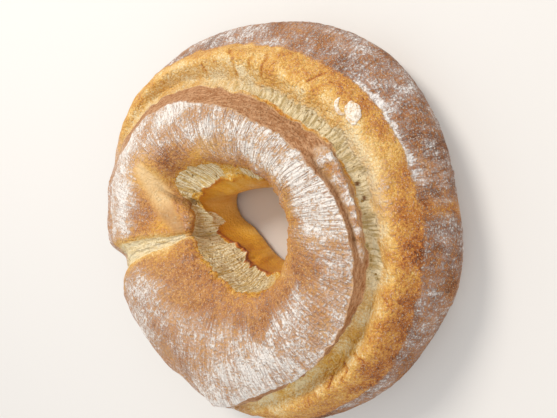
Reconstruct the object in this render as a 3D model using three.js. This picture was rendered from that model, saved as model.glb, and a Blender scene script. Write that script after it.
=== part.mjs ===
// Ring loaf: a crusty hearth-baked bread ring, about 280 mm across and 85 mm tall, lying flat on its base.
// The floured top crust has lifted along its near edge into an ear. Below the ear is a shallow trough, then
// the golden burst crust, then the floured band round the outside. The loaf is one solid piece of bread.
// Millimetres, +Z up. The origin ends up at the bottom centre of the loaf's bounding box.
import * as THREE from "three";

// Outlines round the hole's axis: [bearing in degrees, radius, height]. Bearing 0 is +X and 90 is +Y.
// Edge of the hole at the base.
const HOLE_EDGE = [
  [0, 31, 0], [30, 36, 0], [55, 50, 0], [70, 48, 0], [81, 41, 0], [92, 30, 0],
  [110, 24, 0], [140, 22, 0], [170, 25, 0], [200, 31, 0], [240, 34, 0], [300, 33, 0],
];
// Ragged edge half way up the hole, where the smooth wall ends and the torn crumb starts.
const TEAR = [
  [0, 33, 44], [30, 40, 45], [55, 51, 44], [70, 55, 42], [81, 49, 38], [92, 44, 36],
  [104, 37, 38], [120, 28, 38], [145, 27, 38], [172, 31, 40], [210, 37, 44], [270, 35, 46], [320, 32, 45],
];
// Rim of the hole on top.
const RIM = [
  [0, 41, 68], [28, 49, 68], [55, 57, 67], [68, 60, 66], [80, 38, 66], [95, 37, 67],
  [125, 36, 68], [160, 37, 69], [185, 41, 70], [212, 46, 69], [240, 43, 68], [275, 38, 67], [330, 38, 67],
];
// Crown of the floured top crust.
const CROWN = [
  [0, 62, 81], [30, 76, 82], [60, 90, 82], [95, 86, 82], [140, 81, 84],
  [200, 79, 84], [240, 74, 82], [270, 63, 81], [310, 57, 81],
];
// Lip of the ear. On the far side it settles into the loaf's shoulder.
const LIP = [
  [0, 76, 76], [28, 96, 75], [50, 111, 73], [70, 120, 69], [90, 119, 67], [120, 118, 66],
  [132, 119, 66], [150, 112.5, 67], [161, 113.5, 67],
  [170, 122, 67], [186, 109, 71], [210, 101, 74], [240, 95, 75], [268, 84, 76],
  [295, 71, 77], [330, 68, 77],
];
// Foot of the ear's face.
const EAR_FOOT = [
  [0, 89, 62], [30, 112, 61], [50, 125, 61], [70, 130, 62], [120, 121, 62], [150, 120, 61],
  [172, 124, 60], [188, 112, 61], [212, 101, 62], [236, 95, 62], [255, 93, 62], [270, 87, 63], [305, 80, 62],
  [335, 79, 62],
];
// Bottom of the trough beside the ear.
const TROUGH = [
  [0, 92, 58], [30, 117, 57], [50, 130, 57], [70, 134, 58], [120, 125, 59], [150, 123, 57],
  [172, 125, 56], [190, 114, 57], [212, 104, 57], [239, 99, 58], [256, 97, 58], [270, 91, 59], [305, 84, 59],
  [335, 84, 59],
];
// Crest of the burst crust.
const BURST = [
  [0, 111, 66], [30, 127, 63], [55, 138, 58], [80, 136, 55], [120, 129, 55], [160, 127, 54],
  [190, 122, 57], [212, 115, 63], [240, 112, 66], [270, 105, 66], [305, 102, 66], [335, 101, 67],
];
// Upper edge of the floured outer band.
const BAND = [
  [0, 123, 52], [30, 141, 50], [55, 147, 50], [80, 139, 48], [120, 133, 48], [160, 130, 46],
  [175, 128.5, 46], [187, 129.5, 46], [207, 129.5, 48], [231, 129, 50], [242, 126, 51], [259, 121.5, 52],
  [270, 119, 52], [310, 117, 53], [335, 119, 53],
];
// Widest line of the side.
const BELLY = [
  [0, 143, 32], [18, 150, 33], [30, 153, 34], [42, 152, 35], [58, 150, 36], [75, 144, 38], [100, 137, 39],
  [125, 135, 38], [165, 134.5, 34], [195, 133.5, 31], [218, 135.5, 30], [240, 133, 30], [254, 134.5, 30],
  [264, 133, 30], [278, 130.5, 30], [292, 133, 30], [305, 136.5, 30], [317, 140.5, 30], [328, 142, 30], [345, 142.5, 31],
];

const BASE_INSET_IN = 7; // the base starts this far outside the hole's edge
const BASE_INSET_OUT = 14; // and ends this far inside the belly
const HEEL = 9; // height of the rounded heel of the side
const HOLE_HEEL = 6; // height of the rounded edge at the bottom of the hole

// The fold where the ring's two ends were joined, from the hole to the far outside.
const FOLD = { bearing: 104, halfWidth: 7, depth: 5.5, notch: 10, notchFrom: 112, above: 24, fromHole: 50 };
// The hollow in the top crust beside the hole.
const HOLLOW = { bearing: 64, radius: 66, halfWidth: 13, depth: 8, above: 50 };

const STEP = 4; // degrees between sections
const FOLD_STEP = 2; // degrees between sections near the fold and the hollow
const PER_SPAN = 2; // mesh rows between one outline and the next

// Smooth value along a closed outline at a bearing.
function along(outline, bearing, column) {
  const n = outline.length;
  const turn = (i) => Math.floor(i / n) * 360;
  const wrapped = (i) => outline[((i % n) + n) % n];
  const place = (i) => wrapped(i)[0] + turn(i);
  let k = n - 1;
  while (k >= 0 && place(k) > bearing) k -= 1;
  const slope = (i) => {
    const before = place(i) - place(i - 1);
    const after = place(i + 1) - place(i);
    const fall = (wrapped(i)[column] - wrapped(i - 1)[column]) / before;
    const rise = (wrapped(i + 1)[column] - wrapped(i)[column]) / after;
    return (fall * after + rise * before) / (before + after);
  };
  const span = place(k + 1) - place(k);
  const t = (bearing - place(k)) / span;
  const a = wrapped(k)[column];
  const b = wrapped(k + 1)[column];
  const t2 = t * t;
  const t3 = t2 * t;
  return (2 * t3 - 3 * t2 + 1) * a + (t3 - 2 * t2 + t) * span * slope(k)
    + (3 * t2 - 2 * t3) * b + (t3 - t2) * span * slope(k + 1);
}

const mix = (a, b, t) => a + (b - a) * t;

// The corners of one section, from the inner edge of the base up the hole, over the top and down the side.
// Each is {r, z, soft}: soft 1 is a smooth bend and 0 a sharp one.
function corners(bearing) {
  const at = (outline) => [along(outline, bearing, 1), along(outline, bearing, 2)];
  const hole = at(HOLE_EDGE);
  const tear = at(TEAR);
  const rim = at(RIM);
  const crown = at(CROWN);
  const lip = at(LIP);
  const foot = at(EAR_FOOT);
  const trough = at(TROUGH);
  const burst = at(BURST);
  const band = at(BAND);
  const belly = at(BELLY);
  const corner = (r, z, soft) => ({ r, z, soft });
  return [
    corner(hole[0] + BASE_INSET_IN, 0, 0.25),
    corner(hole[0], HOLE_HEEL, 0.8),
    corner(mix(hole[0], tear[0], 0.5) - 1.5, mix(HOLE_HEEL, tear[1], 0.5), 1),
    corner(tear[0], tear[1], 0.5),
    corner(mix(tear[0], rim[0], 0.55) + 2.5, mix(tear[1], rim[1], 0.5), 1),
    corner(rim[0], rim[1], 0.9),
    corner(mix(rim[0], crown[0], 0.42), mix(rim[1], crown[1], 0.78), 1),
    corner(crown[0], crown[1], 1),
    corner(mix(crown[0], lip[0], 0.6), mix(crown[1], lip[1], 0.42), 1),
    corner(lip[0], lip[1], 0.35),
    corner(foot[0], foot[1], 0.5),
    corner(trough[0], trough[1], 1),
    corner(burst[0], burst[1], 1),
    corner(band[0], band[1], 0.8),
    corner(belly[0], belly[1], 1),
    corner(belly[0] - 3, HEEL, 0.9),
    corner(belly[0] - BASE_INSET_OUT, 0, 0.25),
  ];
}

// The closed section curve at a bearing, as [r, z] points. The last span is the flat base.
function section(bearing) {
  const knots = corners(bearing);
  const n = knots.length;
  const knot = (i) => knots[((i % n) + n) % n];
  const gap = (i) => Math.hypot(knot(i + 1).r - knot(i).r, knot(i + 1).z - knot(i).z);
  const tangent = (i, key) => {
    const before = gap(i - 1);
    const after = gap(i);
    const fall = ((knot(i)[key] - knot(i - 1)[key]) / before) * after;
    const rise = ((knot(i + 1)[key] - knot(i)[key]) / after) * before;
    return (knot(i).soft * (fall + rise)) / (before + after);
  };
  const points = [];
  for (let k = 0; k < n; k += 1) {
    const flat = k === n - 1;
    for (let j = 0; j < PER_SPAN; j += 1) {
      const t = j / PER_SPAN;
      const t2 = t * t;
      const t3 = t2 * t;
      const value = (key) => {
        const straight = mix(knot(k)[key], knot(k + 1)[key], t);
        const bent = (2 * t3 - 3 * t2 + 1) * knot(k)[key] + (t3 - 2 * t2 + t) * gap(k) * tangent(k, key)
          + (3 * t2 - 2 * t3) * knot(k + 1)[key] + (t3 - t2) * gap(k) * tangent(k + 1, key);
        return flat ? straight : bent;
      };
      points.push([value("r"), Math.max(0, value("z"))]);
    }
  }
  return points;
}

// 0 below the edge, 1 above it, smooth between.
const over = (value, edge, width) => THREE.MathUtils.smoothstep(value, edge - width, edge + width);

// Presses the fold and the hollow into a point of the crust, towards the middle of the section.
function pressed(bearing, r, z) {
  const acrossFold = (r * Math.PI * (bearing - FOLD.bearing)) / 180;
  const foldEnds = over(z, FOLD.above, 10) * over(r, FOLD.fromHole, 12);
  const depth = mix(FOLD.depth, FOLD.notch, over(r, FOLD.notchFrom, 8));
  const fold = depth * Math.exp(-((acrossFold / FOLD.halfWidth) ** 2)) * foldEnds;
  const turned = ((bearing - HOLLOW.bearing) * Math.PI) / 180;
  const fromHollow = Math.hypot(r * Math.cos(turned) - HOLLOW.radius, r * Math.sin(turned));
  const hollow = HOLLOW.depth * Math.exp(-((fromHollow / HOLLOW.halfWidth) ** 2)) * over(z, HOLLOW.above, 8);
  const inward = Math.atan2(42 - z, 84 - r);
  return [r + fold * Math.cos(inward), z + fold * Math.sin(inward) - hollow];
}

// Bearings of the sections, closer together round the fold and the hollow.
const bearings = [];
for (let b = 0; b < 360; b += b >= 56 && b < 112 ? FOLD_STEP : STEP) bearings.push(b);

const rings = bearings.map((b) => section(b).map(([r, z]) => pressed(b, r, z)));
const rows = rings[0].length;
const positions = [];
rings.forEach((ring, i) => {
  const turn = (bearings[i] * Math.PI) / 180;
  ring.forEach(([r, z]) => positions.push(r * Math.cos(turn), r * Math.sin(turn), z));
});

const faces = [];
for (let i = 0; i < rings.length; i += 1) {
  const next = (i + 1) % rings.length;
  for (let j = 0; j < rows; j += 1) {
    const up = (j + 1) % rows;
    const a = i * rows + j;
    const b = next * rows + j;
    const c = next * rows + up;
    const d = i * rows + up;
    faces.push(a, c, b, a, d, c);
  }
}

const crust = new THREE.BufferGeometry();
crust.setAttribute("position", new THREE.Float32BufferAttribute(positions, 3));
crust.setIndex(faces);

// The origin moves to the bottom centre of the loaf.
crust.computeBoundingBox();
const middle = crust.boundingBox.getCenter(new THREE.Vector3());
crust.translate(-middle.x, -middle.y, -crust.boundingBox.min.z);
crust.computeVertexNormals();

const bread = new THREE.MeshStandardMaterial({ color: 0xc08a52, roughness: 0.85, metalness: 0 });
const loaf = new THREE.Mesh(crust, bread);
loaf.name = "ring_loaf";

const part = new THREE.Group();
part.name = "ring_loaf_part";
part.add(loaf);

export default part;
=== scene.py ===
import math

import bpy
import numpy as np
from mathutils import Matrix, Vector


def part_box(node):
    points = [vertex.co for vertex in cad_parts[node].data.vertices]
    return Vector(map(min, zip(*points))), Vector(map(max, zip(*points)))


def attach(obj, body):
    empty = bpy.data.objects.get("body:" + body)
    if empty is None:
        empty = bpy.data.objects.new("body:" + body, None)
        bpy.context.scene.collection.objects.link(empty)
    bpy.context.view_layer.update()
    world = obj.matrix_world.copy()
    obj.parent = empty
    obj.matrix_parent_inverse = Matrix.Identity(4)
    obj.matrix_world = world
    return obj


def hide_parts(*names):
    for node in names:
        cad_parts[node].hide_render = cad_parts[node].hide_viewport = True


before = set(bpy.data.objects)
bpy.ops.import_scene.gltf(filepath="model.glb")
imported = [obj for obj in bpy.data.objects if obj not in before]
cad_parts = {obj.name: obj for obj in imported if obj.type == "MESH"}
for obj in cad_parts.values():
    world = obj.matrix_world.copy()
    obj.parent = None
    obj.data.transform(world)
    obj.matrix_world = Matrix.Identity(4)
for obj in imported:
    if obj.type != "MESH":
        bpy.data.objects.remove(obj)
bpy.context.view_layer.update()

# Ring loaf: a crusty hearth-baked bread ring lying flat on its base. The floured top crust has lifted along
# one edge into an ear. Below the ear are a trough of bare crumb, the golden burst and the floured outer band.
# Lengths are in millimetres round the hole's axis, and become metres when the mesh is made.
MM = 0.001
LOAF_LOW, LOAF_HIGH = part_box("ring_loaf")
LOAF_SIZE = np.array(LOAF_HIGH - LOAF_LOW) / MM
LOAF_MIDDLE = np.array(LOAF_LOW + LOAF_HIGH) / 2 / MM
DRAWN_SIZE = np.array([279.3, 273.9, 84.4])  # the box that the outlines below are drawn for
HOLE_FROM_MIDDLE = np.array([-5.46, -4.55, 0])  # the hole's axis from the middle of that box

# ---------------------------------------------------------------- outlines round the hole
# Each is rows of (bearing in degrees, radius, height). Bearing 0 is +X and 90 is +Y.
OUTLINES = {
    "hole_edge": [(0, 31, 0), (30, 36, 0), (55, 50, 0), (70, 48, 0), (81, 41, 0), (92, 30, 0),
                  (110, 24, 0), (140, 22, 0), (170, 25, 0), (200, 31, 0), (240, 34, 0), (300, 33, 0)],
    "wall": [(0, 31, 34), (12, 30, 39), (30, 31.5, 40), (49, 34.5, 40), (63, 44, 40), (73, 52, 37),
             (82, 45, 24), (95, 36.5, 21), (110, 29, 21), (125, 24.5, 22), (150, 24, 22), (180, 29, 23),
             (210, 33, 24), (250, 33, 25), (300, 32, 25), (335, 31, 28)],
    "tear": [(0, 34, 52), (10, 36, 55), (29, 39, 55), (40, 43.5, 55), (50, 46, 55), (60, 49, 54),
             (69, 52, 51), (78, 50.5, 42), (92, 45, 38), (104, 36, 38), (120, 27.5, 38), (145, 27, 38),
             (172, 31.5, 40), (210, 37, 44), (270, 35, 46), (320, 32.5, 48)],
    "rim": [(0, 41, 68), (28, 49, 68), (47, 58, 68), (57, 64, 67), (66, 61, 64), (74, 47, 62), (80, 40.5, 63),
            (92, 41, 65), (102, 38, 67), (125, 36, 68), (160, 37, 69), (185, 41, 70), (212, 46, 69),
            (240, 43, 68), (275, 38, 67), (330, 38, 67)],
    "crown": [(0, 62, 81), (30, 76, 82), (60, 90, 82), (95, 86, 82), (140, 81, 84),
              (200, 79, 84), (240, 74, 82), (270, 63, 81), (310, 57, 81)],
    "lip": [(0, 76, 76), (28, 96, 75), (50, 111, 73), (70, 120, 69), (90, 119, 67), (120, 118, 66),
            (132, 119, 66), (150, 112.5, 67), (161, 113.5, 67), (170, 122, 67), (186, 109, 71),
            (210, 101, 74), (240, 95, 75), (268, 84, 76), (295, 71, 77), (330, 68, 77)],
    "foot": [(0, 89, 62), (30, 112, 61), (50, 125, 61), (70, 130, 62), (120, 121, 62), (150, 120, 61),
             (172, 124, 60), (188, 112, 61), (212, 101, 62), (236, 95, 62), (255, 93, 62), (270, 87, 63),
             (305, 82, 62), (335, 79, 62)],
    "trough": [(0, 92, 58), (30, 117, 57), (50, 130, 57), (70, 134, 58), (120, 125, 59), (150, 123, 57),
               (172, 125, 56), (190, 114, 57), (212, 104, 57), (239, 99, 58), (256, 97, 58), (270, 91, 59),
               (305, 86, 59), (335, 84, 59)],
    "burst": [(0, 111, 66), (30, 127, 63), (55, 138, 58), (80, 136, 55), (120, 129, 55), (160, 127, 54),
              (190, 122, 57), (212, 115, 63), (240, 112, 66), (270, 105, 66), (305, 102, 66), (335, 101, 67)],
    "band": [(0, 123, 52), (30, 141, 50), (55, 147, 50), (80, 139, 48), (120, 133, 48), (160, 130, 46),
             (175, 128.5, 46), (187, 129.5, 46), (207, 129.5, 48), (231, 129, 50), (242, 126, 51),
             (259, 121.5, 52), (270, 119, 52), (310, 117, 53), (335, 119, 53)],
    "belly": [(0, 143, 32), (18, 150, 33), (30, 153, 34), (42, 152, 35), (58, 150, 36), (75, 144, 38),
              (100, 137, 39), (125, 135, 38), (165, 134.5, 34), (195, 133.5, 31), (218, 135.5, 30),
              (240, 133, 30), (254, 134.5, 30), (264, 133, 30), (278, 130.5, 30), (292, 133, 30),
              (305, 136.5, 30), (317, 140.5, 30), (328, 142, 30), (345, 142.5, 31)],
}
# How far each outline wanders: (wave length, sideways, up and down).
RAGGED = {
    "wall": [(17, 1.2, 1.6)],
    "tear": [(22, 1.6, 1.2)],
    "rim": [(24, 1.2, 0.6), (7, 0.5, 0.4)],
    "lip": [(30, 1.4, 0.8), (9, 0.7, 0.3)],
    "foot": [(26, 1.2, 0.6), (8, 0.8, 0.5)],
    "trough": [(34, 1.6, 0.8), (11, 0.8, 0.7)],
    "burst": [(40, 2.4, 1.5), (15, 1.2, 1.1)],
    "band": [(36, 1.5, 1.6), (10, 0.8, 1.0), (4, 0.3, 0.4)],
    "belly": [(60, 1.2, 1.0)],
}
# Torn edges, ragged only close to the line itself: (wave length, sideways, up and down).
TORN_EDGES = {
    "tear": [(10, 1.8, 1.8), (4, 0.6, 0.7)],
    "rim": [(6, 0.9, 0.6), (2.4, 0.6, 0.4)],
    "foot": [(10, 1.4, 0.7), (3.6, 1.0, 0.5)],
    "lip": [(6, 0.6, 0.4), (2.6, 0.7, 0.4)],
    "shelf_out": [(6, 1.0, 0.8), (2.8, 0.7, 0.6)],
}
BASE_INSET_IN = 7
BASE_INSET_OUT = 14
HEEL = 9
HOLE_HEEL = 6

# The lines that cross a section, from the base's inner edge up the hole, over the top and down the side,
# each with the number of mesh rows between it and the next.
LINES = [("base_in", 4), ("hole_heel", 6), ("wall", 8), ("tear", 8), ("crumb", 8), ("rim", 11), ("slope", 13),
         ("crown", 15), ("shoulder", 14), ("lip", 5), ("shelf_in", 4), ("shelf_out", 5), ("foot", 6),
         ("trough", 12), ("burst", 10), ("band", 13), ("belly", 10), ("heel", 4), ("base_out", 3)]
LINE = {name: i for i, (name, _) in enumerate(LINES)}
SECTIONS = 600


# ---------------------------------------------------------------- small numeric tools
def ease(value, start, end):
    """0 before start, 1 after end, smooth between. start may be above end."""
    t = np.clip((np.asarray(value, float) - start) / (end - start), 0, 1)
    return t * t * (3 - 2 * t)


def mix(a, b, t):
    return a + (b - a) * t


def bend(t, a, b, reach, lean_a, lean_b):
    """A smooth curve from a to b over 0 to 1, leaving and arriving at the given slopes times its reach."""
    return ((2 * t**3 - 3 * t**2 + 1) * a + (t**3 - 2 * t**2 + t) * reach * lean_a
            + (3 * t**2 - 2 * t**3) * b + (t**3 - t**2) * reach * lean_b)


def turn_between(bearing, centre):
    """Signed angle from centre to bearing, in degrees."""
    return (bearing - centre + 180) % 360 - 180


def along(rows, bearing):
    """Smooth closed curve through rows of (bearing, value, ...), one array for each value."""
    rows = np.array(rows, float)
    at = np.concatenate([rows[-2:, 0] - 360, rows[:, 0], rows[:3, 0] + 360])
    gaps = np.diff(at)
    x = np.mod(bearing, 360)
    k = np.clip(np.searchsorted(at, x, side="right") - 1, 1, len(at) - 3)
    span = at[k + 1] - at[k]
    t = (x - at[k]) / span
    found = []
    for column in range(1, rows.shape[1]):
        value = np.concatenate([rows[-2:, column], rows[:, column], rows[:3, column]])
        rise = np.diff(value) / gaps
        slope = np.zeros(len(at))
        slope[1:-1] = (rise[:-1] * gaps[1:] + rise[1:] * gaps[:-1]) / (gaps[1:] + gaps[:-1])
        found.append(bend(t, value[k], value[k + 1], span, slope[k], slope[k + 1]))
    return found


def scatter(ix, iy, iz, seed):
    """A repeatable random number from 0 to 1 for each whole-number cell."""
    h = (ix.astype(np.int64) * 374761393 + iy.astype(np.int64) * 668265263
         + iz.astype(np.int64) * 1442695041 + seed * 974711) & 0xFFFFFFFF
    h = ((h ^ (h >> 13)) * 1274126177) & 0xFFFFFFFF
    h = ((h ^ (h >> 16)) * 2246822519) & 0xFFFFFFFF
    return (h ^ (h >> 15)) / 4294967295.0


def lumps(points, size, seed=0, layers=1):
    """Smooth random height from -1 to 1 over points (N, 3), with lumps of about that size."""
    total, weight, strength = 0, 0, 1.0
    for layer in range(layers):
        p = points / size * 2**layer
        cell = np.floor(p)
        f = p - cell
        f = f * f * f * (f * (f * 6 - 15) + 10)
        value = 0
        for corner in range(8):
            step = np.array([corner & 1, corner >> 1 & 1, corner >> 2 & 1])
            share = np.prod(np.where(step, f, 1 - f), axis=-1)
            c = cell + step
            value = value + share * scatter(c[..., 0], c[..., 1], c[..., 2], seed + 31 * layer)
        total = total + strength * (value * 2 - 1)
        weight += strength
        strength *= 0.5
    return total / weight


def pits(points, size, keep, seed=0):
    """1 in the middle of scattered round pits, 0 outside them. keep is the share of cells with a pit."""
    p = points / size
    cell = np.floor(p)
    deepest = np.zeros(points.shape[:-1])
    for corner in range(27):
        c = cell + np.array([corner % 3 - 1, corner // 3 % 3 - 1, corner // 9 - 1])
        spot = np.stack([scatter(c[..., 0], c[..., 1], c[..., 2], seed + i) for i in range(3)], -1)
        luck = scatter(c[..., 0], c[..., 1], c[..., 2], seed + 7)
        away = np.linalg.norm(p - c - 0.2 - 0.6 * spot, axis=-1)
        radius = 0.2 + 0.3 * scatter(c[..., 0], c[..., 1], c[..., 2], seed + 9)
        deepest = np.maximum(deepest, (luck < keep) * ease(away, radius, radius * 0.4))
    return deepest


# ---------------------------------------------------------------- the loaf's form
def wander(name, bearing, waves):
    """Sideways and up-and-down wander of an outline."""
    turn = np.radians(bearing)
    ring = np.stack([100 * np.cos(turn), 100 * np.sin(turn), 0 * turn], -1)
    aside, up = 0, 0
    for i, (size, side_reach, up_reach) in enumerate(waves):
        seed = sum(map(ord, name)) + 5 * i
        aside = aside + side_reach * lumps(ring, size, seed)
        up = up + up_reach * lumps(ring, size, seed + 50)
    return aside, up


def flap_share(bearing):
    """1 along the stretch where the ear's face carries its torn flap, 0 elsewhere."""
    turn = turn_between(bearing, 285)
    return ease(turn, -29, -17) * ease(turn, 27, 16)


def section_corners(bearing):
    """The corners of the section at each bearing, as (radius, height, softness) in the order of LINES."""
    at = {}
    for name, rows in OUTLINES.items():
        radius, height = along(rows, bearing)
        aside, up = wander(name, bearing, RAGGED.get(name, []))
        at[name] = (radius + aside, height + up)
    still = 0 * bearing

    def between(a, b, side, up):
        return mix(at[a][0], at[b][0], side), mix(at[a][1], at[b][1], up)

    crumb = between("tear", "rim", 0.5, 0.5)
    slope = between("rim", "crown", 0.42, 0.78)
    shoulder = between("crown", "lip", 0.6, 0.42)
    # Along one stretch a torn flap of crust stands out from the ear's face, with a groove behind it.
    flap = flap_share(bearing)
    near_in = between("lip", "foot", 0.34, 0.34)
    near_out = between("lip", "foot", 0.67, 0.67)
    reach = at["foot"][0] - at["lip"][0]
    groove = (at["lip"][0] + 0.14 * reach, at["lip"][1] - 5.4)
    crest = (at["foot"][0] + 0.8, at["lip"][1] - 5.0)
    return [
        (at["hole_edge"][0] + BASE_INSET_IN, still, 0.25),
        (at["hole_edge"][0], still + HOLE_HEEL, 0.8),
        (at["wall"][0], at["wall"][1], 0.7),
        (at["tear"][0], at["tear"][1], 0.45),
        (crumb[0] + 2.5, crumb[1], 1.0),
        (at["rim"][0], at["rim"][1], 0.8),
        (slope[0], slope[1], 1.0),
        (at["crown"][0], at["crown"][1], 1.0),
        (shoulder[0], shoulder[1], 1.0),
        (at["lip"][0], at["lip"][1], 0.35),
        (mix(near_in[0], groove[0], flap), mix(near_in[1], groove[1], flap), 0.5),
        (mix(near_out[0], crest[0], flap), mix(near_out[1], crest[1], flap), 0.6),
        (at["foot"][0] - 0.5 * flap, at["foot"][1], 0.5),
        (at["trough"][0], at["trough"][1], 1.0),
        (at["burst"][0], at["burst"][1], 1.0),
        (at["band"][0], at["band"][1], 0.6),
        (at["belly"][0], at["belly"][1], 1.0),
        (at["belly"][0] - 3, still + HEEL, 0.9),
        (at["belly"][0] - BASE_INSET_OUT, still, 0.25),
    ]


def loft(bearing):
    """Rows of section points: radius and height (rows, sections), and each row's place between the LINES."""
    corners = section_corners(bearing)
    count = len(corners)
    knots = [np.stack(c[:2]) for c in corners]
    soft = [c[2] for c in corners]
    gaps = [np.linalg.norm(knots[(i + 1) % count] - knots[i], axis=0) for i in range(count)]
    lean = []
    for i in range(count):
        back, ahead = gaps[i - 1], gaps[i]
        fall = (knots[i] - knots[i - 1]) / back
        rise = (knots[(i + 1) % count] - knots[i]) / ahead
        lean.append(soft[i] * (fall * ahead + rise * back) / (back + ahead))
    rows, place = [], []
    for i, (_, steps) in enumerate(LINES):
        after = (i + 1) % count
        on_base = i == count - 1
        for t in np.arange(steps) / steps:
            if on_base:
                rows.append(mix(knots[i], knots[after], t))
            else:
                rows.append(bend(t, knots[i], knots[after], gaps[i], lean[i], lean[after]))
            place.append(i + t)
    rows = np.array(rows)
    return rows[:, 0], np.maximum(rows[:, 1], 0), np.array(place)


def outward(points):
    """Unit normals of a closed grid of points (rows, sections, 3)."""
    across = np.roll(points, -1, 0) - np.roll(points, 1, 0)
    onward = np.roll(points, -1, 1) - np.roll(points, 1, 1)
    normal = np.cross(across, onward)
    return normal / (np.linalg.norm(normal, axis=-1, keepdims=True) + 1e-9)


# How far the skin inside the hole curls up where it ends at the torn crumb: (bearing, share).
TEAR_EDGE = [(0, 0.3), (30, 0.8), (55, 0.8), (68, 0.3), (80, 0.4), (95, 1), (190, 1), (210, 0.5), (300, 0.2)]
# The fold where the ring's two ends were joined: (radius, bearing, half its width).
FOLD = [(34, 97, 1.0), (52, 101.5, 2.8), (66, 101.5, 3.8), (90, 103, 6), (113, 105, 9), (128, 106, 11),
        (140, 106, 11)]
# The channel pressed into the crust beside the hole: (bearing, radius, half its width, depth).
CHANNEL = [(62, 86, 7, 2.5), (66, 76, 10, 5), (71, 68, 10.5, 6.5), (77, 61, 9.5, 6), (83, 55, 8, 5),
           (91, 48, 6, 3)]
# The crack at the channel's end, from the crust into the hole: (bearing, radius).
CREVICE = [(67, 74), (70, 63), (71, 54), (73, 46), (74, 38)]
# The swollen edge of the crust between the channel and the hole.
BEAD = [(71, 57), (73, 50), (76, 43), (82, 40), (89, 41), (96, 43)]
# Short splits in the burst crust, each from its inner to its outer end.
SPLITS = [[(3, 101), (2, 112), (4, 118)], [(351, 99), (349, 110), (351, 115)], [(356, 104), (355, 110)],
          [(17, 108), (16, 118)], [(222, 107), (223, 112), (219, 116)], [(217, 109), (214, 115)],
          [(198, 104), (195, 108)], [(228, 108), (229, 115)], [(330, 104), (328, 112)]]
# Dark chips of crust lying in the trough: (bearing, radius).
CHIPS = [(288, 86.5), (282, 88.5)]
# A small browned hollow in the ear's face, and the bare mark on the outer band: (bearing, radius).
HOLLOW = (297, 76.5)
BAND_MARK = (275.5, 124)
CRACK_DEPTH = 0.7  # of the crack along the fold


def plan(bearing, radius):
    turn = np.radians(bearing)
    return np.stack([radius * np.cos(turn), radius * np.sin(turn)], -1)


def from_path(spots, path):
    """Distance in plan from spots to a path of (bearing, radius), and the share of the way along it."""
    stops = plan(np.array([p[0] for p in path], float), np.array([p[1] for p in path], float))
    nearest = np.full(spots.shape[:-1], 1e9)
    share = np.zeros(spots.shape[:-1])
    for i in range(len(stops) - 1):
        leg = stops[i + 1] - stops[i]
        t = np.clip(((spots - stops[i]) @ leg) / (leg @ leg), 0, 1)
        away = np.linalg.norm(spots - stops[i] - t[..., None] * leg, axis=-1)
        closer = away < nearest
        nearest = np.where(closer, away, nearest)
        share = np.where(closer, (i + t) / (len(stops) - 1), share)
    return nearest, share


def fold_place(bearing, radius):
    """Signed distance from the fold's middle, and half its width, at each point."""
    radii = [f[0] for f in FOLD]
    middle = np.interp(radius, radii, [f[1] for f in FOLD])
    half = np.interp(radius, radii, [f[2] for f in FOLD])
    return np.radians(turn_between(bearing, middle)) * radius, half


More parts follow.
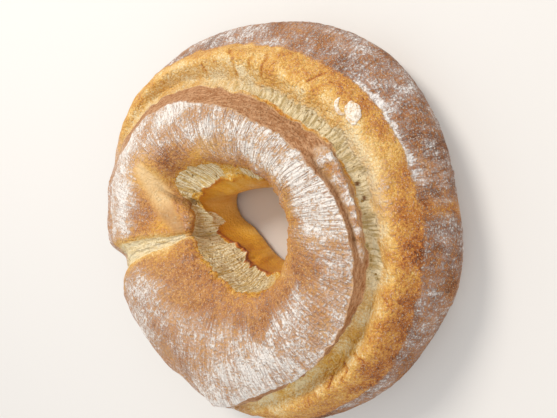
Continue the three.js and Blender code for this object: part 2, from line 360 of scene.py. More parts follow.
def shape_loaf():
    """The loaf's points in millimetres, and what the crust's finish needs to know about each."""
    bearing = np.arange(SECTIONS) * 360.0 / SECTIONS
    radius, height, place = loft(bearing)
    b = np.broadcast_to(bearing, radius.shape)
    s = np.broadcast_to(place[:, None], radius.shape)
    on_top = ease(height, 40, 56) * ease(s, 2.6, 3.2)
    for name, waves in TORN_EDGES.items():
        aside, up = wander(name + " edge", bearing, waves)
        close = ease(np.abs(s - LINE[name]), 0.5, 0.0)
        radius = radius + aside * close
        height = height + up * close
    ledge = np.exp(-((turn_between(b, 80) / 8) ** 2) - ((s - 2.95) / 0.35) ** 2)
    skin_edge = within(s, 2.72, 2.98, 0.16) * along(TEAR_EDGE, b)[0]
    radius = radius - 6 * ledge - 1.4 * skin_edge

    # The fold parts the crust, and the two lobes round down into it.
    aside, half = fold_place(b, radius)
    parted = ease(radius, 33, 44) * ease(height, 12, 34) * ease(s, 2.6, 3.4)
    deep = np.interp(radius, [60, 100, 114, 124], [4.6, 5.4, 9.5, 11])
    fold = deep * ease(np.abs(aside), half * 2.0, half * 0.6) * parted
    seam = np.abs(aside - 0.2 * half - 0.8 * np.sin(radius / 5) - 0.5 * np.sin(radius / 1.7))
    crack = CRACK_DEPTH * ease(seam, 0.8, 0.2) * parted * ease(radius, 118, 108)
    inward = np.arctan2(42 - height, 84 - radius)
    radius = radius + (fold + crack) * np.cos(inward)
    height = height + (fold + crack) * np.sin(inward)

    # The channel, the crevice and the bead.
    spots = plan(b, radius)
    away, share = from_path(spots, [c[:2] for c in CHANNEL])
    channel_half = np.interp(share, np.linspace(0, 1, len(CHANNEL)), [c[2] for c in CHANNEL])
    channel_deep = np.interp(share, np.linspace(0, 1, len(CHANNEL)), [c[3] for c in CHANNEL])
    height = height - channel_deep * ease(away, channel_half * 1.5, 0) * on_top
    crevice_away, crevice_share = from_path(spots, CREVICE)
    crevice = ease(crevice_away, 2.2, 0.3) * on_top * ease(crevice_share, 0, 0.3)
    height = height - 4.5 * crevice
    bead = ease(from_path(spots, BEAD)[0], 3.4, 0.4) * ease(s, 4.0, 4.7) * ease(s, 7.5, 6)
    height = height + 0.9 * bead

    splits = np.zeros(radius.shape)
    on_burst = ease(s, 12.4, 13) * ease(s, 15, 14.6)
    for path in SPLITS:
        splits = np.maximum(splits, ease(from_path(spots, path)[0], 1.5, 0.4) * on_burst)
    chips = np.zeros(radius.shape)
    for chip_bearing, chip_radius in CHIPS:
        chip_away = np.linalg.norm(spots - plan(chip_bearing, chip_radius), axis=-1)
        chips = np.maximum(chips, ease(chip_away, 1.9, 0.9) * ease(s, 12, 12.4))

    turn = np.radians(b)
    points = np.stack([radius * np.cos(turn), radius * np.sin(turn), height], -1)
    length = np.cumsum(np.linalg.norm(np.diff(points, axis=0, prepend=points[:1]), axis=-1), axis=0)
    grain = np.stack([100 * np.cos(turn), 100 * np.sin(turn), length], -1)
    return dict(points=points, grain=grain, bearing=b, radius=radius, place=s, fold=aside / half,
                channel=ease(away, channel_half * 0.95, channel_half * 0.3) * on_top, crevice=crevice,
                parted=parted, crack=crack, bead=bead, splits=splits, chips=chips, ledge=ledge,
                skin_edge=skin_edge, channel_end=ease(share, 0.45, 0.8))


def within(place, first, last, soften=0.25):
    """1 between two of the LINES, named or given as a place, 0 elsewhere."""
    a = LINE.get(first, first)
    z = LINE.get(last, last)
    return ease(place, a - soften, a + soften) * ease(place, z + soften, z - soften)


def ear_open(bearing):
    """1 where the ear has opened over bare burst crust, 0 on the far side where the loaf stayed shut."""
    t = turn_between(bearing, 297)
    return ease(t, -128, -112) * ease(t, 135, 119)


def mark(loaf, bearing, radius, half_turn, half_depth):
    """A soft round mark on the crust, in plan: half its size round the ring and half its size outwards."""
    turn = np.radians(turn_between(loaf["bearing"], bearing)) * radius
    return np.exp(-((turn / half_turn) ** 2) - ((loaf["radius"] - radius) / half_depth) ** 2)


def round_ring(loaf, rows):
    """A value that changes smoothly round the ring, from rows of (bearing, value)."""
    return along(rows, loaf["bearing"])[0]


# Flour on the top crust, from the bare ring round the hole to the lip: (bearing, where it starts, share).
TOP_FLOUR = [(0, 46, 0.64), (15, 50, 0.6), (30, 58, 0.6), (50, 74, 0.66), (70, 82, 0.8), (90, 80, 0.8),
             (103, 82, 0.5), (120, 66, 0.58), (145, 62, 0.5), (170, 60, 0.44), (185, 60, 0.6),
             (200, 66, 0.68), (215, 62, 0.62), (235, 60, 0.56), (250, 58, 0.52), (262, 52, 0.62),
             (275, 49, 0.86), (295, 47, 0.94), (320, 43, 0.86), (340, 43, 0.78)]
# Patches where the flour lies thicker or thinner: (bearing, radius, half size round, half size out, change).
FLOUR_PATCHES = [(28, 91, 20, 6, 0.7), (55, 111, 14, 9, 0.6), (13, 64, 9, 7, 0.4), (169, 112, 12, 6, 0.6),
                 (180, 96, 14, 10, 0.3), (197, 90, 16, 12, 0.25), (249, 66, 13, 11, -0.3),
                 (118, 82, 12, 10, 0.2), (84, 76, 9, 8, 0.2), (145, 96, 18, 9, -0.16), (226, 70, 14, 7, 0.12),
                 (150, 72, 14, 6, 0.12)]
# White lines of flour caught on the lip: (bearing, half the length in degrees, share).
LIP_FLOUR = [(25, 13, 1.0), (48, 8, 0.7), (170, 10, 1.2), (190, 14, 1.2), (206, 10, 0.9), (300, 24, 0.7),
             (131, 7, 0.9)]
# Flour on the outer band.
BAND_FLOUR = [(0, 0.5), (30, 0.46), (60, 0.4), (120, 0.4), (180, 0.3), (205, 0.25), (240, 0.27), (265, 0.31),
              (285, 0.42), (302, 0.38), (322, 0.33), (338, 0.34)]
# How strongly the top crust has wrinkled.
WRINKLES = [(0, 1.0), (30, 0.85), (55, 0.5), (90, 0.4), (120, 0.35), (160, 0.45), (200, 0.7), (235, 0.7),
            (265, 0.85), (300, 1.0), (335, 1.0)]
# How deeply the outer half of the burst has baked.
OUTER_BURST = [(0, 0.4), (60, 0.3), (180, 0.5), (215, 0.6), (250, 0.95), (285, 0.85), (310, 0.5), (335, 0.5)]
# How much of the trough shows bare crumb, and how golden that crumb is: (bearing, share).
TROUGH_CRUMB = [(0, 0.6), (30, 0.4), (60, 0.2), (180, 0.25), (205, 0.2), (228, 0.25), (244, 0.5), (256, 0.85),
                (265, 0.95), (300, 1.0), (335, 0.9)]
# The warmth also picks the trough crumb's tone between its shaded tones and the hole's lit ones.
TROUGH_WARMTH = [(0, 0.2), (60, 0.4), (200, 0.7), (240, 0.7), (265, 0.3), (300, 0.1)]
# Bare crumb inside the hole: (bearing, its lower edge, its upper edge, share). The edges are places
# between LINES.
HOLE_CRUMB = [(0, 3.2, 4.7, 0.95), (6, 3.4, 4.6, 0.5), (11, 3.6, 4.5, 0.1), (22, 3.6, 4.6, 0.15),
              (29, 3.3, 4.7, 0.85), (36, 3.05, 4.85, 1), (60, 3.1, 4.9, 1), (67, 3.5, 4.95, 1),
              (72, 3.7, 4.9, 0.95), (76, 2.9, 4.5, 0.8), (80, 2.2, 4.4, 1), (86, 2.2, 4.6, 1),
              (91, 2.6, 4.8, 1), (97, 2.95, 4.85, 1), (104, 3.0, 4.9, 1),
              (150, 3.0, 4.9, 1), (188, 3.0, 4.85, 0.95), (200, 3.1, 4.7, 0.6), (215, 3.3, 4.5, 0.25),
              (260, 3.4, 4.4, 0.2), (310, 3.4, 4.4, 0.25), (330, 3.2, 4.6, 0.75), (345, 3.1, 4.7, 0.9)]


def finish_fields(loaf):
    """Where the crust is floured, browned, torn open or darkened with painted shade, as fields from 0 to 1.
    """
    # Every point's bearing b, radius r, height z, and place s between the LINES, made a little uneven.
    b, r = loaf["bearing"], loaf["radius"]
    z = loaf["points"][..., 2]
    grain = loaf["grain"]
    opened = ear_open(b)
    blotch = lumps(grain, 26, 3, 2)
    fine = lumps(grain, 7, 4, 2)
    s = loaf["place"] + 0.14 * fine

    top = within(s, "rim", "lip", 0.2)
    face = within(s, "lip", "foot", 0.12) * opened
    gully = within(s, "foot", 13.5, 0.35) * opened
    burst = within(s, "foot", "band", 0.09) * opened
    band = within(s, "band", "heel", 0.09)
    shut = within(s, "lip", "band", 0.2) * (1 - opened)
    wall = within(s, "base_in", "tear", 0.12)
    torn = within(s, "tear", "rim", 0.15)
    base = ease(s, 16.6, 17.2) + ease(s, 0.9, 0.5)
    flap = flap_share(b) * within(s, 10.25, 11.45, 0.2)
    channel = loaf["channel"] * ease(s, 3.6, 4.4)

    # Browning, from 0 pale to 1 dark, and how golden the tone is rather than brown.
    bare = ease(s, 7.6, 6.0) * top
    blend = 6 * lumps(grain, 10, 8, 2)
    gold_top = np.clip(mark(loaf, 64, 78, 12, 12) + mark(loaf, 84, 56, 8, 9) + 0.8 * mark(loaf, 30, 56, 24, 6)
                       + 0.7 * mark(loaf, 111, 56, 6, 16) + 0.6 * mark(loaf, 92, 62, 6, 18), 0, 1) * top
    rusty = 0.5 * mark(loaf, 48, 70, 8, 5) + 0.5 * mark(loaf, 86, 68, 12, 8)
    outer = ease(s, 13.1, 14.8)
    deep = outer * round_ring(loaf, OUTER_BURST)
    browning = (0.72 - 0.03 * bare) * top + 0.9 * band + 0.72 * shut + 0.72 * base
    browning = browning - 0.26 * gold_top + (0.2 * rusty + 0.06 * mark(loaf, 140, 92, 40, 18)) * top
    browning = browning + burst * (0.21 + 0.5 * deep + 0.08 * outer)
    browning = browning + wall * (0.5 - 0.12 * ease(s, 2.2, 1.0)) + torn * 0.34 + 0.36 * loaf["skin_edge"]
    browning = browning + 0.1 * blotch + 0.07 * fine + 0.12 * band * lumps(grain, 8, 33, 2)
    golden = wall + 0.58 * burst + torn + 0.55 * gold_top + 0.15 * top + 0.1 * bare * ease(z, 78, 70)
    rim_gold = mark(loaf, 265, 45, 60, 8) * ease(s, 4.5, 5) * (0.7 + 0.6 * fine)
    golden = golden + 0.45 * rim_gold
    browning = browning - 0.12 * rim_gold

    # Bare crumb: in the gully by the ear, in the torn hole, in the fold and in the channel beside it.
    shown = round_ring(loaf, TROUGH_CRUMB)
    crumb = 0.85 * gully * shown * ease(s + 0.3 * fine, 14.0, 13.1)
    stretched = gully * mark(loaf, 214, 106, 62, 9)
    browning = browning - 0.05 * stretched + 0.2 * stretched * ease(lumps(grain, 6, 31, 2), 0.1, 0.6)
    golden = mix(golden, 1, stretched)
    warmth = round_ring(loaf, TROUGH_WARMTH)
    golden = mix(golden, warmth, ease(crumb, 0.25, 0.7))
    lowest, highest, share = along(HOLE_CRUMB, b)
    ragged = s + 0.13 * lumps(grain, 8, 6, 2)
    crumb = np.maximum(crumb, share * ease(ragged, lowest - 0.1, lowest + 0.1)
                       * ease(ragged, highest + 0.12, highest - 0.12))
    # The hole's walls on the near side, which get painted shade.
    near_wall_shade = np.exp(-((turn_between(b, 182) / 45) ** 2)) * (wall + torn)
    far_wall = np.exp(-((turn_between(b, 66) / 24) ** 2)) * within(s, 1.1, 2.2, 0.25)
    browning = mix(browning, 0.38, far_wall)
    browning = browning - 0.14 * np.exp(-((turn_between(b, 8) / 40) ** 2)) * wall
    golden = mix(golden, 0.7, far_wall)
    rim_edge = 0.9 * within(s, 4.8, 5.12, 0.16)
    browning = mix(browning, 0.5, rim_edge)
    golden = mix(golden, 0.9, rim_edge)
    strip = 1.2 * ease(s, 15, 10)
    fold_inside = ease(np.abs(loaf["fold"]), strip + 0.25, strip - 0.05) * loaf["parted"]
    fold_inside = fold_inside * within(s, "rim", "band", 0.5)
    crumb = np.maximum(crumb, 0.52 * fold_inside)
    browning = mix(browning, 0.12, fold_inside)
    golden = mix(golden, 0.08, fold_inside)
    fold_rim = ease(np.abs(loaf["fold"]), 2.7, 1.3) * loaf["parted"] * top
    browning = browning - 0.3 * fold_rim
    golden = np.maximum(golden, 0.7 * fold_rim)
    # The channel is painted darker towards its end, as shade under the overhanging lobe: in browning here and
    # in shade below.
    browning = mix(browning, 0.2 + 0.22 * loaf["channel_end"], channel * 0.9)
    golden = mix(golden, 0.2, channel)
    crumb = np.maximum(crumb, 0.34 * channel)
    browning = mix(browning, 0.55, loaf["bead"] * (1 - channel))
    golden = mix(golden, 0.5, loaf["bead"] * (1 - channel))
    crumb = crumb * (1 - loaf["bead"] * ease(s, 4.4, 4.9))
    browning = browning + 0.3 * loaf["splits"]

    # Flour.
    start, share = along(TOP_FLOUR, b)
    for at, radius, half_turn, half_out, change in FLOUR_PATCHES:
        share = share + change * mark(loaf, at, radius, half_turn, half_out)
    flour = top * share * (0.15 + 0.85 * ease(r + blend, start - 4, start + 11))
    flour = flour * (1 - 0.8 * gold_top) * (1 - fold_rim)
    for centre, half, strength in LIP_FLOUR:
        on_lip = within(s, 8.45, 9.15, 0.25) * ease(np.abs(turn_between(b, centre)), half * 1.4, half * 0.5)
        flour = np.maximum(flour, strength * on_lip)
    gap = mark(loaf, *BAND_MARK, 5, 30) * band
    flour = np.maximum(flour, band * round_ring(loaf, BAND_FLOUR) * (1 - 0.9 * gap))
    browning = browning - 0.26 * gap
    golden = np.maximum(golden, 0.6 * gap)
    edge = within(s, 14.98, 15.14, 0.06) * ease(np.abs(turn_between(b, 304)), 20, 12)
    flour = np.maximum(flour, 1.1 * edge)
    flour = np.maximum(flour, 0.45 * within(s, 16.2, 18, 0.6))
    flour = np.maximum(flour, 0.42 * shut)
    flour = np.maximum(flour, flap * (0.6 + 0.9 * lumps(grain, 5, 16, 2)))
    browning = mix(browning, 0.66, flap)
    golden = mix(golden, 0.1, flap)
    creamy = burst * mark(loaf, 290, 99, 34, 8)
    flour = np.maximum(flour, 0.3 * creamy)
    browning = browning + burst * (0.16 * lumps(grain, 11, 14, 2) + 0.1 * fine)
    browning = browning - 0.14 * creamy
    patches = lumps(grain, 13, 9, 2)
    flour = flour + (0.14 * blotch + (0.2 + 0.18 * band) * patches) * ease(flour, 0.02, 0.2)
    foot_edge = within(s, 11.75, 12.3, 0.15) * opened * ease(np.abs(turn_between(b, 318)), 60, 25)
    foot_edge = foot_edge * ease(lumps(grain, 9, 15, 2), -0.35, 0.15)
    golden = mix(golden, 0.8, foot_edge)
    browning = mix(browning, 0.6, foot_edge)
    crumb = crumb * (1 - foot_edge)
    flour = flour * (1 - fold_inside) * (1 - channel) + 0.22 * fold_inside
    hollow = mark(loaf, *HOLLOW, 5, 3) * face
    golden = np.maximum(golden, hollow)
    browning = mix(browning, 0.72, hollow)
    flour = flour * (1 - hollow)

    wrinkled = top * round_ring(loaf, WRINKLES) * ease(s, 5.4, 6.2)
    wrinkled = wrinkled + band * (0.4 + 0.6 * mark(loaf, 287, 124, 24, 40))
    return {key: np.clip(value, 0, 1) for key, value in dict(
        browning=browning,
        golden=golden,
        flour=flour,
        crumb=crumb,
        face=face * (1 - flap) * (1 - hollow) * (1 - foot_edge) + 0.3 * shut,
        smooth=wall * (1 - loaf["ledge"]) + 0.85 * channel + 0.5 * gold_top + 0.1 * burst,
        wrinkled=wrinkled,
        # shade darkens the colour: painted shade in the fold's crack, the crevice, the gully, the channel
        # towards its end, the hole's near wall and the groove behind the flap; the chips' own dark colour;
        # and a darker patch on the ear's face.
        shade=0.4 * loaf["crack"] / CRACK_DEPTH + 0.5 * loaf["crevice"] + loaf["chips"] + 0.1 * gully
        + (0.06 + 0.3 * loaf["channel_end"]) * channel + 0.12 * near_wall_shade
        + 0.12 * face * mark(loaf, 338, 78, 34, 10)
        + 0.55 * flap_share(b) * within(s, 9.7, 10.25, 0.2),
    ).items()}


def roughen(loaf, fields):
    """Height added along the crust's normal, in millimetres."""
    grain, s = loaf["grain"], loaf["place"]
    points = loaf["points"]
    top = within(s, "rim", "lip", 0.3)
    burst = within(s, "foot", "band", 0.3) * ear_open(loaf["bearing"])
    band = within(s, "band", "heel", 0.3)
    rise = 0.8 * lumps(points, 38, 21) * (top + band)
    creases = ease(np.abs(lumps(grain * [1 / 3.6, 1 / 3.6, 1 / 26], 1, 11, 2)), 0.13, 0.0)
    swell = lumps(grain * [1 / 3.4, 1 / 3.4, 1 / 18], 1, 12, 2)
    rise = rise + fields["wrinkled"] * (1 + 0.6 * band) * (0.35 * swell - 0.55 * creases)
    rise = rise + top * 0.22 * lumps(points, 3.2, 23, 2)
    strands = lumps(grain * [1 / 5, 1 / 5, 1 / 16], 1, 25, 2)
    rise = rise + burst * (1.2 * lumps(points, 14, 24, 2) + 0.6 * strands + 0.4 * lumps(points, 4, 26, 2))
    rise = rise - 0.9 * loaf["splits"] + 0.9 * loaf["chips"]
    rise = rise + band * 0.45 * lumps(points, 5, 28, 2)
    rise = rise + flap_share(loaf["bearing"]) * within(s, 10.3, 11.6, 0.2) * 1.3 * lumps(points, 4.5, 27, 2)
    fibre = lumps(grain * [1 / 2.2, 1 / 2.2, 1 / 9], 1, 17, 2)
    rise = rise + fields["crumb"] * (0.36 * fibre - 0.9 * pits(points, 3.4, 0.5, 41))
    rise = rise + fields["face"] * (0.55 * lumps(grain * [1 / 9, 1 / 9, 1 / 2.5], 1, 29, 2))
    rise = rise + 0.6 * lumps(points, 11, 30, 2) * within(s, "hole_heel", "tear", 0.3)
    rise = rise - 3.0 * mark(loaf, *HOLLOW, 4, 2.4) * within(s, 10, 12, 0.3)
    flat = ease(points[..., 2], 0.5, 6)
    return rise * flat


def make_mesh(name, points, faces, fields, grain):
    """A mesh from points (N, 3) in metres, with the finish fields as attributes."""
    mesh = bpy.data.meshes.new(name)
    mesh.from_pydata(points, [], faces)
    for key, values in fields.items():
        layer = mesh.attributes.new(key, "FLOAT", "POINT")
        layer.data.foreach_set("value", values.astype(np.float32).ravel())
    layer = mesh.attributes.new("grain", "FLOAT_VECTOR", "POINT")
    layer.data.foreach_set("vector", grain.astype(np.float32).ravel())
    mesh.polygons.foreach_set("use_smooth", np.ones(len(mesh.polygons), bool))
    mesh.update()
    piece = bpy.data.objects.new(name, mesh)
    bpy.context.scene.collection.objects.link(piece)
    return piece


def crust_at(loaf, bearing, radius, first, last):
    """Height of the finished crust between two of the LINES, at a bearing and radius."""
    column = int(round(bearing / 360 * SECTIONS)) % SECTIONS
    rows = np.flatnonzero((loaf["place"][:, 0] >= LINE[first]) & (loaf["place"][:, 0] <= LINE[last]))
    spots = loaf["raised"][rows, column]
    return np.interp(radius, np.hypot(spots[:, 0], spots[:, 1]), spots[:, 2])


# Peels of floured crust, half sunk into the burst: name, the LINES they lie between, how far their middle is
# over the crust, half their thickness, flour, and stops along each as (bearing, radius, half its width).
PEELS = [
    ("flour_flake", "trough", "band", 0.4, 0.5, 0.8,
     [(313.6, 109.4, 0.6), (312.2, 108.0, 3.2), (310.2, 106.6, 4.4), (308.4, 105.2, 4.2), (306.8, 103.6, 2.6),
      (306.0, 102.0, 0.5)]),
    ("flour_curl", "trough", "band", 0.5, 0.6, 0.75,
     [(316.8, 106.8, 0.4), (316.4, 104.2, 1.2), (315.0, 101.4, 1.5), (312.8, 100.6, 1.4),
      (311.0, 102.2, 0.5)]),
]


def make_peel(loaf, placed, name, first, last, lift, thick, flour, stops):
    """A thin closed peel of crust that follows the surface under it."""
    count, around = 44, 16
    rows = np.array(stops, float)
    share = np.linspace(0, 1, len(rows))
    t = np.linspace(0, 1, count)
    centre = np.stack([np.interp(t, share, plan(rows[:, 0], rows[:, 1])[:, k]) for k in (0, 1)], -1)
    kernel = np.array([1, 2, 3, 2, 1]) / 9
    for _ in range(2):
        padded = np.pad(centre, ((2, 2), (0, 0)), mode="edge")
        smooth = np.stack([np.convolve(padded[:, k], kernel, mode="valid") for k in (0, 1)], -1)
        centre[1:-1] = smooth[1:-1]
    ahead = np.gradient(centre, axis=0)
    ahead = ahead / np.linalg.norm(ahead, axis=1, keepdims=True)
    side = np.stack([-ahead[:, 1], ahead[:, 0]], -1)
    turn = np.arange(around) * 2 * np.pi / around
    spots, lifts = [], []
    for i in range(count):
        half = np.interp(t[i], share, rows[:, 2])
        half = half * (1 + 0.25 * lumps(np.array([[t[i] * 9, 0.5, 3.5], [t[i] * 9, 9.5, 3.5]]), 1, 61, 2))
        across = np.where(np.cos(turn) > 0, half[0], half[1]) * np.cos(turn)
        spots.append(centre[i] + across[:, None] * side[i])
        lifts.append(lift + thick * np.where(np.sin(turn) > 0, 1.0, 1.6) * np.sin(turn))
    spots, lifts = np.array(spots), np.array(lifts)
    bearing = np.degrees(np.arctan2(spots[..., 1], spots[..., 0])) % 360
    radius = np.hypot(spots[..., 0], spots[..., 1])
    ground = np.array([crust_at(loaf, b, r, first, last) for b, r in zip(bearing.ravel(), radius.ravel())])
    ends = ease(np.minimum(t, 1 - t), 0, 0.08)[:, None]
    height = ground.reshape(radius.shape) + lifts * (0.4 + 0.6 * ends)
    points = np.concatenate([spots, height[..., None]], -1)
    points = points + 0.3 * lumps(points, 2.4, 62, 2)[..., None] * [0, 0, 1]
    index = np.arange(count * around).reshape(count, around)
    quads = np.stack([index[:-1], np.roll(index, -1, 1)[:-1], np.roll(index, -1, 1)[1:], index[1:]], -1)
    faces = quads.reshape(-1, 4).tolist() + [index[0, ::-1].tolist(), index[-1].tolist()]
    flat = points.reshape(-1, 3)
    levels = dict(browning=0.45, golden=0.4, flour=flour, crumb=0.0, face=0.0, smooth=0.5, wrinkled=0.2,
                  shade=0.0)
    fields = {key: np.full(len(flat), level) for key, level in levels.items()}
    return make_mesh(name, placed(flat) * MM, faces, fields, flat)


def bake_loaf():
    """The loaf's crust and the peels on it, sized and placed by the frame."""
    loaf = shape_loaf()
    fields = finish_fields(loaf)
    points = loaf["points"]
    raised = points + outward(points) * roughen(loaf, fields)[..., None]
    raised[..., 2] = np.maximum(raised[..., 2], 0)
    loaf["raised"] = raised
    scale = LOAF_SIZE / DRAWN_SIZE
    axis = np.array([*(LOAF_MIDDLE + HOLE_FROM_MIDDLE * scale)[:2], LOAF_LOW.z / MM])

    def placed(spots):
        """From the hole's axis to the frame, in millimetres."""
        return spots * scale + axis

    rows, sections = points.shape[:2]
    index = np.arange(rows * sections).reshape(rows, sections)
    right = np.roll(index, -1, 1)
    quads = np.stack([index, np.roll(index, -1, 0), np.roll(right, -1, 0), right], -1).reshape(-1, 4)
    flat = placed(raised).reshape(-1, 3) * MM
    pieces = [make_mesh("ring_loaf_crust", flat, quads[:, ::-1], fields, loaf["grain"])]
    for name, first, last, lift, thick, flour, stops in PEELS:
        pieces.append(make_peel(loaf, placed, name, first, last, lift, thick, flour, stops))
    return pieces


# ---------------------------------------------------------------- finishes
def linear(hex_colour):
    """sRGB hex to linear RGBA."""
    parts = [int(hex_colour[i:i + 2], 16) / 255 for i in (1, 3, 5)]
    return tuple(c / 12.92 if c <= 0.04045 else ((c + 0.055) / 1.055) ** 2.4 for c in parts) + (1.0,)


def add(tree, kind, fill=None, out=0, **settings):
    """Adds a node with its settings, fills its inputs with values or links, and returns one output."""
    node = tree.nodes.new(kind)
    for key, value in settings.items():
        setattr(node, key, value)
    inputs = [socket for socket in node.inputs if socket.enabled]
    names = [socket.name for socket in inputs]
    for key, value in (fill or {}).items():
        socket = inputs[names.index(key) if isinstance(key, str) else key]
        if isinstance(value, bpy.types.NodeSocket):
            tree.links.new(value, socket)
        else:
            socket.default_value = value
    outputs = [socket for socket in node.outputs if socket.enabled]
    if not outputs:
        return None
    return outputs[out] if isinstance(out, int) else {socket.name: socket for socket in outputs}[out]


def maths(tree, operation, *values, clamp=False):
    """A sum on values or links."""
    return add(tree, "ShaderNodeMath", dict(enumerate(values)), operation=operation, use_clamp=clamp)


def tint(tree, share, under, over):
    """The colour over laid on the colour under, as far as share says."""
    return add(tree, "ShaderNodeMix", {"Factor": share, "A": under, "B": over}, data_type="RGBA")


# The fields of finish_fields that the material reads.
FIELDS = ("browning", "golden", "flour", "crumb", "face", "smooth", "wrinkled", "shade")
# Noises: (name, measured along, grain size in mm each way, detail, roughness, distortion). "loaf" is measured
# straight through the loaf. "crust" has two sizes round the ring and one outwards over the crust.
NOISES = [
    ("speck", "loaf", (1.0, 1.0, 1.0), 1.0, 0.5, 0.0),  # the finest specks of crust, 1 mm
    ("grit", "loaf", (1.7, 1.7, 1.7), 2.0, 0.6, 0.0),  # crumbs of crust and flour, 1 to 2 mm
    ("blister", "loaf", (4.0, 4.0, 4.0), 3.0, 0.6, 0.4),  # blisters of the skin, 4 mm
    ("cloud", "loaf", (11.0, 11.0, 11.0), 3.0, 0.6, 0.0),  # patches of flour, 1 cm
    ("streak", "crust", (2.4, 2.4, 16.0), 2.0, 0.55, 0.7),  # flour drawn out as the loaf grew
    ("crease", "crust", (3.0, 3.0, 26.0), 1.0, 0.4, 0.9),  # wrinkles of the skin, 3 mm apart
    ("strand", "crust", (2.2, 2.2, 9.0), 2.0, 0.5, 0.4),  # torn strands of crumb
    ("pore", "loaf", (2.6, 2.6, 2.6), 2.0, 0.5, 0.0),  # pores of the crumb
    ("fibre", "crust", (9.0, 9.0, 1.6), 3.0, 0.6, 0.0),  # layers of the ear's torn face
]
# Sums: (name, starting from, what is added to it with its weight; each noise counts from its middle, 0.5).
SUMS = [
    ("mottle", None, (("speck", 0.8), ("grit", 0.8), ("blister", 0.4), ("cloud", 0.4))),
    ("cover", "flour", (("cloud", 1.1), ("streak", 0.9), ("blister", 0.7), ("grit", 1.6), ("speck", 0.6))),
    ("open_crumb", "crumb", (("blister", 0.7), ("grit", 0.5))),
    ("layer", "fibre", (("grit", 0.6), ("blister", 0.4))),
]
# Masks: (name, made from, value where it starts, value where it is full, least, most).
MASKS = [
    ("haze", "cover", -0.1, 0.9, 0.0, 0.52),
    ("white", "cover", 0.48, 1.0, 0.0, 0.92),
    ("crumb_mask", "open_crumb", 0.3, 0.7, 0.0, 1.0),
    ("layered", "layer", 0.3, 0.7, 0.0, 1.0),
    ("stranded", "strand", 0.36, 0.62, 0.0, 1.0),
    ("porous", "pore", 0.36, 0.28, 0.0, 0.9),
    ("calm", "smooth", 0.0, 1.0, 1.0, 0.25),
    ("glint", "speck", 0.57, 0.7, 0.0, 0.55),
    ("broken", "blister", 0.34, 0.54, 0.45, 1.0),
]
# Tones: the crust's from pale to dark as (browning, colour), and what else shows as (darker, lighter) pairs
# and single colours.
BROWN_CRUST = ((0.0, "#F0DCB8"), (0.25, "#E3BC86"), (0.45, "#CF9C66"), (0.62, "#BB8758"), (0.78, "#A2683A"),
               (0.9, "#8A522A"), (1.0, "#5F3620"))
GOLD_CRUST = ((0.0, "#F8E8B8"), (0.22, "#F0CB7C"), (0.4, "#E4AE3C"), (0.6, "#D18B27"), (0.78, "#B66622"),
              (0.9, "#965024"), (1.0, "#6B3519"))
EAR_FACE = ("#A46F45", "#CFA077")
# The trough's crumb tones are painted darker as shade, and the hole's crumb tones lighter as lit.
TROUGH_CRUMB_SHADED_TONES = ("#B9A271", "#EEDDB4")
HOLE_CRUMB_LIT_TONES = ("#DDBC76", "#FFF3CE")
# The last tone darkens where shade says: painted shade in cracks and hollows, and also the chips' own dark
# colour.
PORE_SHADE_TONE, GLINT, SHADE_AND_CHIP_TONE = "#A8823A", "#F0D0AA", "#74502E"
# Flour: (mask, its colour on brown crust, its colour on golden crust).
FLOURS = (("haze", "#E8DCD3", "#FCE6BA"), ("white", "#F8F2EC", "#FFF0D2"))


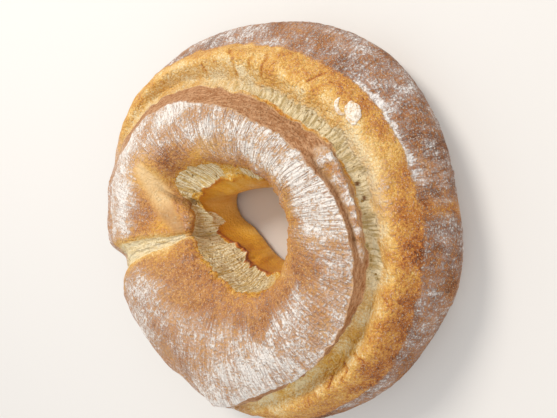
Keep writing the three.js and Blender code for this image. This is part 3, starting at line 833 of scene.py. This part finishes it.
def bread_crust():
    """Hearth-baked wheat crust, dusted with flour: matte and dry, with bare crumb where it has torn."""
    material = bpy.data.materials.new("hearth_bread_crust")
    material.use_nodes = True
    tree = material.node_tree
    tree.nodes.clear()

    seen = {key: add(tree, "ShaderNodeAttribute", out="Fac", attribute_name=key) for key in FIELDS}
    inside = add(tree, "ShaderNodeTexCoord", out="Object")
    across = {"loaf": add(tree, "ShaderNodeVectorMath", {0: inside, 1: (1 / MM,) * 3}, operation="MULTIPLY"),
              "crust": add(tree, "ShaderNodeAttribute", out="Vector", attribute_name="grain")}
    for name, along_what, size, detail, roughness, distortion in NOISES:
        closer = tuple(1 / step for step in size)
        grains = add(tree, "ShaderNodeVectorMath", {0: across[along_what], 1: closer}, operation="MULTIPLY")
        noise = {"Vector": grains, "Scale": 1.0, "Detail": detail, "Roughness": roughness,
                 "Distortion": distortion}
        seen[name] = add(tree, "ShaderNodeTexNoise", noise)
    for name, start, parts in SUMS:
        middle = sum(weight for _, weight in parts) / 2
        total = maths(tree, "SUBTRACT", seen.get(start, 0.0), middle)
        for part, weight in parts:
            total = maths(tree, "MULTIPLY_ADD", seen[part], weight, total)
        seen[name] = total
    for name, source, start, full, least, most in MASKS:
        limits = {"Value": seen[source], "From Min": start, "From Max": full, "To Min": least, "To Max": most}
        seen[name] = add(tree, "ShaderNodeMapRange", limits, interpolation_type="SMOOTHSTEP")

    # Wrinkle lines, where the crease noise crosses its middle value: bare of flour and a little darker.
    off_line = maths(tree, "SUBTRACT", seen["crease"], 0.5)
    off_line = maths(tree, "ABSOLUTE", off_line)
    limits = {"Value": off_line, "From Min": 0.045, "From Max": 0.01, "To Min": 0.0, "To Max": 0.85}
    line = add(tree, "ShaderNodeMapRange", limits, interpolation_type="SMOOTHSTEP")
    line = maths(tree, "MULTIPLY", line, seen["wrinkled"])
    line = maths(tree, "MULTIPLY", line, seen["broken"])
    off_line = maths(tree, "SUBTRACT", 1.0, line)
    heat = maths(tree, "MULTIPLY_ADD", seen["mottle"], seen["calm"], seen["browning"])

    tones = []
    for stops in (BROWN_CRUST, GOLD_CRUST):
        tone = add(tree, "ShaderNodeValToRGB", {"Fac": heat})
        elements = tone.node.color_ramp.elements
        elements[0].color = linear(stops[0][1])
        elements[1].color = linear(stops[-1][1])
        for position, shade in stops[1:-1]:
            elements.new(position).color = linear(shade)
        tones.append(tone)
    colour = tint(tree, seen["golden"], tones[0], tones[1])

    # The crust's finest specks catch the light.
    glint = maths(tree, "MULTIPLY", seen["glint"], seen["calm"])
    colour = tint(tree, glint, colour, linear(GLINT))

    # The ear's face is dry, pinkish brown and layered. Crumb is in strands with painted shade in its pores.
    # The crumb's tones are shaded and lit copies: greenish cream in the trough, painted darker as shade, and
    # a warmer, lighter cream inside the hole, painted as lit; golden picks between them.
    face_tone = tint(tree, seen["layered"], linear(EAR_FACE[0]), linear(EAR_FACE[1]))
    colour = tint(tree, seen["face"], colour, face_tone)
    crumb_tones = [tint(tree, seen["stranded"], linear(low), linear(high))
                   for low, high in (TROUGH_CRUMB_SHADED_TONES, HOLE_CRUMB_LIT_TONES)]
    crumb_tone = tint(tree, seen["golden"], crumb_tones[0], crumb_tones[1])
    # Painted shade in the crumb's pores.
    crumb_tone = tint(tree, seen["porous"], crumb_tone, linear(PORE_SHADE_TONE))
    colour = tint(tree, seen["crumb_mask"], colour, crumb_tone)

    # Flour: a thin haze that lets the crust through, and white where it lies thick.
    for layer, dry, golden in FLOURS:
        shade = tint(tree, seen["golden"], linear(dry), linear(golden))
        covered = maths(tree, "MULTIPLY", seen[layer], off_line)
        dusted = maths(tree, "MULTIPLY", seen["flour"], 6.0, clamp=True)
        covered = maths(tree, "MULTIPLY", covered, dusted)
        colour = tint(tree, covered, colour, shade)
    # Painted shade in cracks, the crevice, the gully, the channel's end, the hole's near wall and the groove
    # behind the flap, and the chips' own dark colour.
    colour = tint(tree, seen["shade"], colour, linear(SHADE_AND_CHIP_TONE))

    # Height in millimetres: wrinkles, flour, strands and pores.
    height = maths(tree, "MULTIPLY", seen["grit"], 0.9)
    rough = maths(tree, "SUBTRACT", 1.0, seen["smooth"], clamp=True)
    for part, share, weight in ((seen["grit"], rough, 1.6), (seen["blister"], rough, 1.8),
                                (seen["streak"], seen["wrinkled"], 1.6), (line, rough, -0.5),
                                (covered, rough, 0.25), (seen["stranded"], seen["crumb_mask"], 0.4),
                                (seen["porous"], seen["crumb_mask"], -0.7)):
        shared = maths(tree, "MULTIPLY", part, share)
        height = maths(tree, "MULTIPLY_ADD", shared, weight, height)
    bump = add(tree, "ShaderNodeBump", {"Height": height, "Strength": 1.0, "Distance": MM})

    # Bare crust has a slight gloss, the skin inside the hole a little more, and flour none.
    roughness = maths(tree, "MULTIPLY_ADD", seen["smooth"], -0.22, 0.72)
    roughness = maths(tree, "MULTIPLY_ADD", covered, 0.3, roughness, clamp=True)
    sheen = maths(tree, "MULTIPLY_ADD", seen["smooth"], 0.25, 0.2)
    shader = add(tree, "ShaderNodeBsdfPrincipled",
                 {"Base Color": colour, "Roughness": roughness, "Normal": bump, "Specular IOR Level": sheen})
    add(tree, "ShaderNodeOutputMaterial", {"Surface": shader})
    return material


def plain(name, tone, roughness):
    """An evenly coloured matte surface for the floor."""
    material = bpy.data.materials.new(name)
    material.use_nodes = True
    tree = material.node_tree
    tree.nodes.clear()
    shader = add(tree, "ShaderNodeBsdfPrincipled", {"Base Color": linear(tone), "Roughness": roughness})
    add(tree, "ShaderNodeOutputMaterial", {"Surface": shader})
    return material


# ---------------------------------------------------------------- floor, light and camera
FLOOR_REACH = 30.0  # metres each way, so that its edge is at the horizon


def lay_floor():
    """A plain pale floor at the height of the loaf's base."""
    mesh = bpy.data.meshes.new("floor")
    around = ((-1, -1), (1, -1), (1, 1), (-1, 1))
    corners = [(x * FLOOR_REACH, y * FLOOR_REACH, LOAF_LOW.z) for x, y in around]
    mesh.from_pydata(corners, [], [(0, 1, 2, 3)])
    floor = bpy.data.objects.new("floor", mesh)
    bpy.context.scene.collection.objects.link(floor)
    mesh.materials.append(plain("pale_studio_floor", "#DEDBD6", 0.9))


def soft_light(name, place, size, watts, tone):
    """A round soft light that faces the middle of the loaf."""
    lamp = bpy.data.lights.new(name, "AREA")
    lamp.shape = "DISK"
    lamp.size = size
    lamp.energy = watts
    lamp.color = linear(tone)[:3]
    light = bpy.data.objects.new(name, lamp)
    bpy.context.scene.collection.objects.link(light)
    middle = Vector((LOAF_MIDDLE[0] * MM, LOAF_MIDDLE[1] * MM, LOAF_HIGH.z * 0.6))
    turn = (middle - Vector(place)).to_track_quat("-Z", "Y").to_matrix().to_4x4()
    light.matrix_world = Matrix.Translation(place) @ turn


def light_studio():
    """An even pale room, a soft key from above one end, and a weak broad light from the ear's side."""
    soft_light("window", (0.75, 0.4, 1.2), 0.5, 12.5, "#FFF8F0")
    soft_light("front", (-0.1, -0.85, 1.3), 0.8, 3.4, "#FFFBF6")
    world = bpy.data.worlds.new("pale_room")
    bpy.context.scene.world = world
    world.use_nodes = True
    sky = world.node_tree.nodes["Background"]
    sky.inputs["Color"].default_value = linear("#F3F4F7")
    sky.inputs["Strength"].default_value = 0.84


# The camera looks down from the ear's side, turned so that the loaf's far side is on the left.
CAMERA_RISE = math.radians(58)  # above the floor
CAMERA_AWAY = 0.380
CAMERA_LENS = 36.0  # millimetres
CAMERA_FRAME = 36.0  # the frame's width in millimetres
CAMERA_TARGET = Vector((0.00654, -0.01955, 0.040))


def place_camera():
    """Looks down on the loaf from the -Y side, with +X up in the picture."""
    back = Vector((0, -math.cos(CAMERA_RISE), math.sin(CAMERA_RISE)))
    right = Vector((0, -math.sin(CAMERA_RISE), -math.cos(CAMERA_RISE)))
    up = Vector((1, 0, 0))
    lens = bpy.data.cameras.new("camera")
    lens.lens = CAMERA_LENS
    lens.sensor_width = CAMERA_FRAME
    lens.clip_start = 0.01
    camera = bpy.data.objects.new("camera", lens)
    bpy.context.scene.collection.objects.link(camera)
    turned = Matrix((right, up, back)).transposed().to_4x4()
    camera.matrix_world = Matrix.Translation(CAMERA_TARGET + CAMERA_AWAY * back) @ turned
    bpy.context.scene.camera = camera


place_camera()
lay_floor()
light_studio()
bpy.context.scene.view_settings.view_transform = "Standard"

finish = bread_crust()
for piece in bake_loaf():
    piece.data.materials.append(finish)
    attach(piece, "root")
    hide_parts("ring_loaf")
